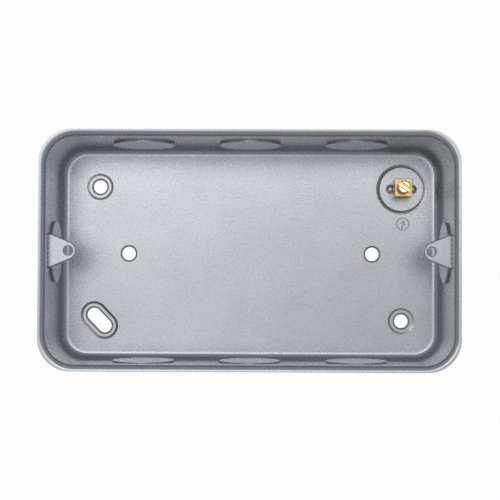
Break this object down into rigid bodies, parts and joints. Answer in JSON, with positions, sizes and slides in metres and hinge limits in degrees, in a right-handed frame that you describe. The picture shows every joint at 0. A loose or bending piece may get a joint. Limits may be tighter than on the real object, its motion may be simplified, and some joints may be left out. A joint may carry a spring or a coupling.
{
  "type": "surface back box",
  "caption": "Open-fronted drawn steel back box for a wiring accessory, with rounded corners, round knockouts, wall-screw holes, screw lugs under its turned-out rim and a brass earth terminal.",
  "frame": {"origin": "centre of the back face, which lies on the wall", "axes": "+X along the length, +Y across the width towards the wall nearest the earth terminal, +Z out of the open front"},
  "size_m": [0.1384, 0.0794, 0.04],
  "materials": {
    "grey_paint": "fine-textured semi-gloss paint",
    "brass": "turned brass"
  },
  "bodies": {
    "box": {"back_box": "grey_paint", "left_fixing_lug": "grey_paint", "right_fixing_lug": "grey_paint", "earth_terminal_block": "brass"},
    "clamp_screw": {"earth_terminal_screw": "brass"}
  },
  "joints": [
    {"name": "clamp_screw_travel", "type": "slide", "parent": "box", "child": "clamp_screw", "axis": [0, 0, 1], "range_m": [-0.0018, 0.001]}
  ]
}
